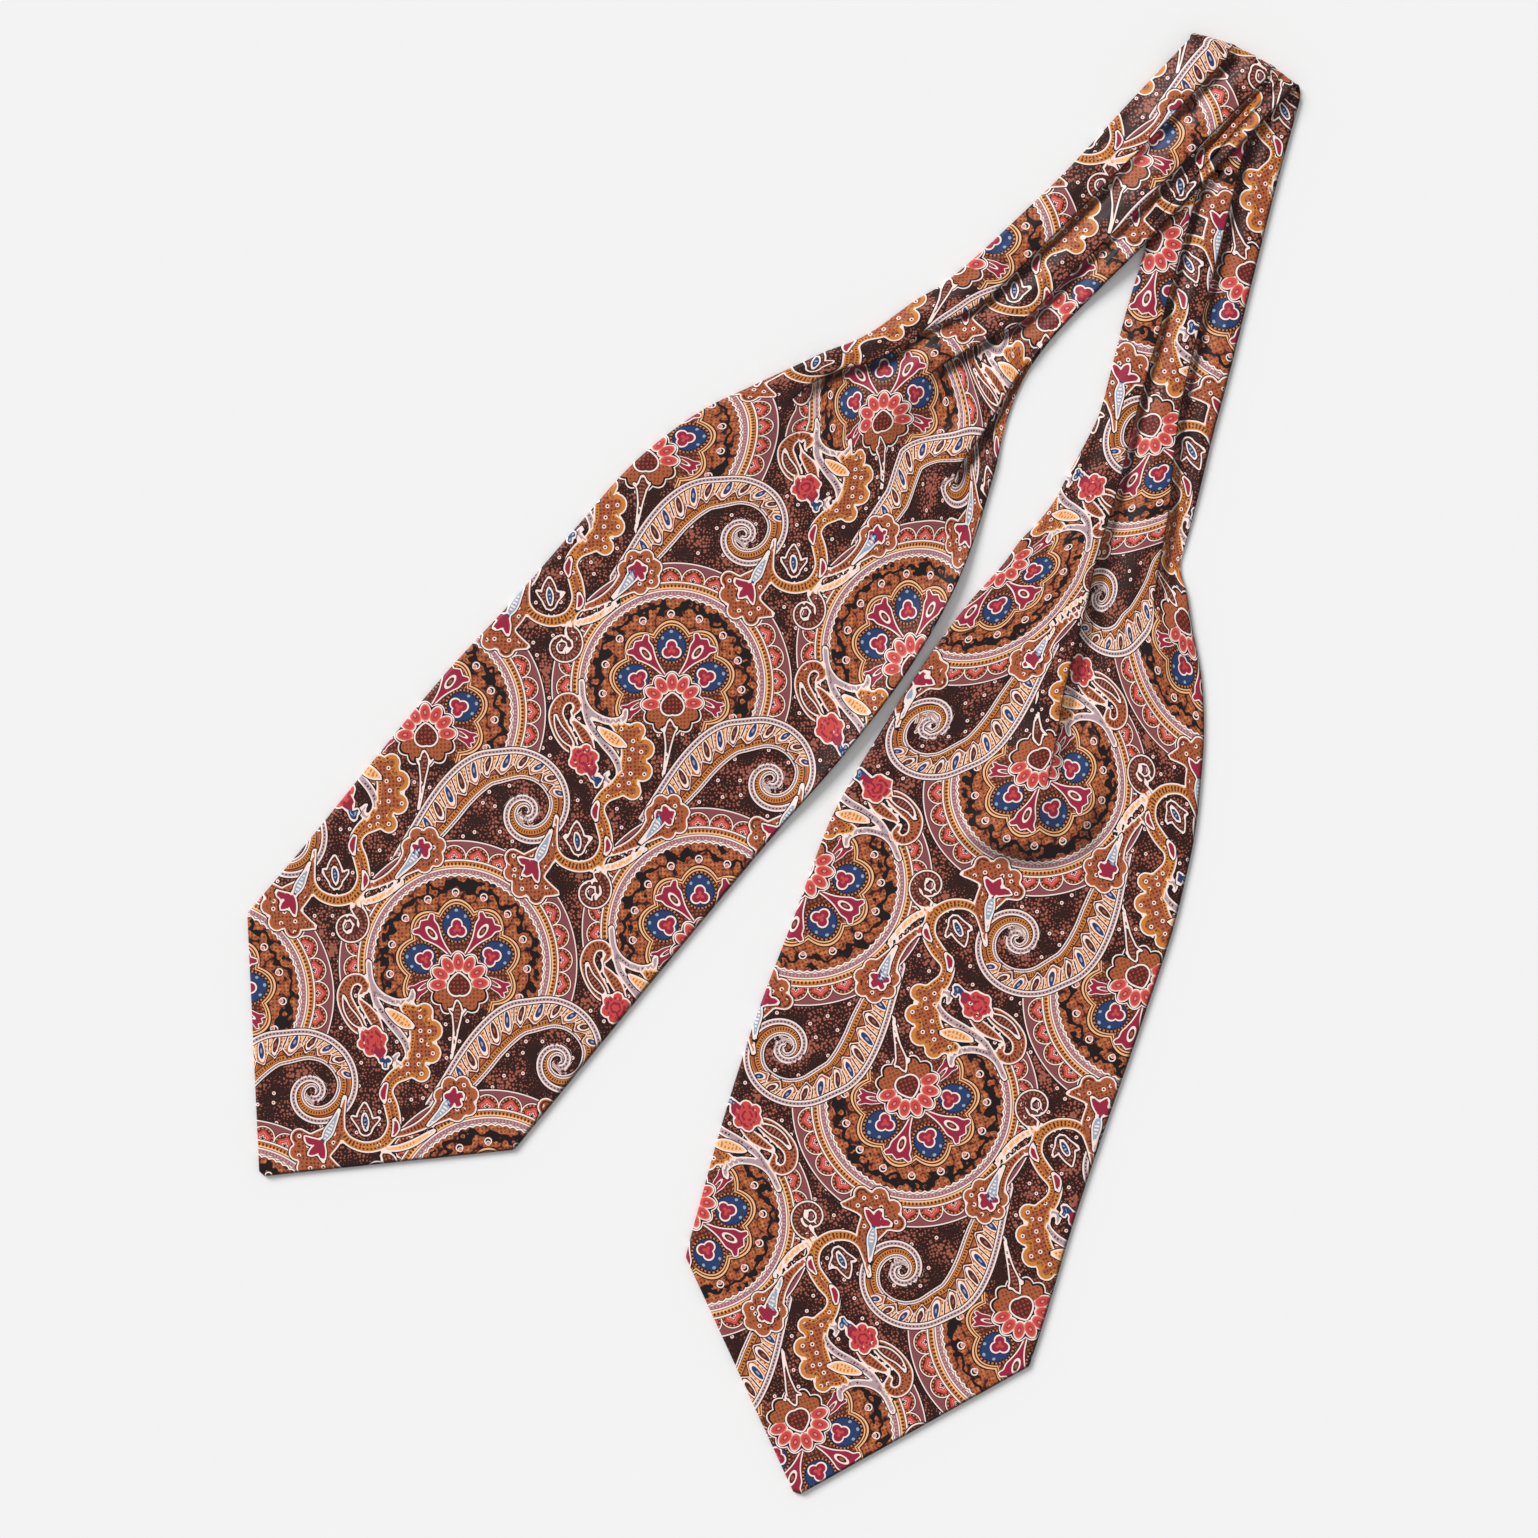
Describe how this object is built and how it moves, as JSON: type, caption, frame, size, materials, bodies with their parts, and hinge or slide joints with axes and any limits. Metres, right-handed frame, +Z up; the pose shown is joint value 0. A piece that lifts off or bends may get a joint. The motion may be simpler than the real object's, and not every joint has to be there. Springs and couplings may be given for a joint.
{
  "type": "silk cravat",
  "caption": "Day cravat folded at the neck and laid flat: pleated neckband with knife pleats, and broad pointed blades of printed silk.",
  "frame": {"origin": "centre of the plan outline, on the surface that the cravat lies on", "axes": "+Z up from the surface, +Y along the longer side of the outline towards the neck fold, +X to the right, towards the side that the right blade lies on"},
  "size_m": [0.4314, 0.5982, 0.0075],
  "materials": {
    "printed_silk": "printed silk twill, soft sheen",
    "silk_backing": "printed silk twill, soft sheen"
  },
  "bodies": {
    "root": {"left_band_back": "silk_backing", "left_band_pleat_1": "printed_silk", "left_band_pleat_2": "printed_silk", "left_band_pleat_3": "printed_silk", "left_blade_back": "silk_backing", "left_blade_front": "printed_silk", "right_band_back": "silk_backing", "right_band_pleat_1": "printed_silk", "right_band_pleat_2": "printed_silk", "right_band_pleat_3": "printed_silk", "right_blade_back": "silk_backing", "right_blade_front": "printed_silk", "neck_turn_outer": "printed_silk", "neck_turn_inner": "silk_backing"}
  },
  "joints": []
}
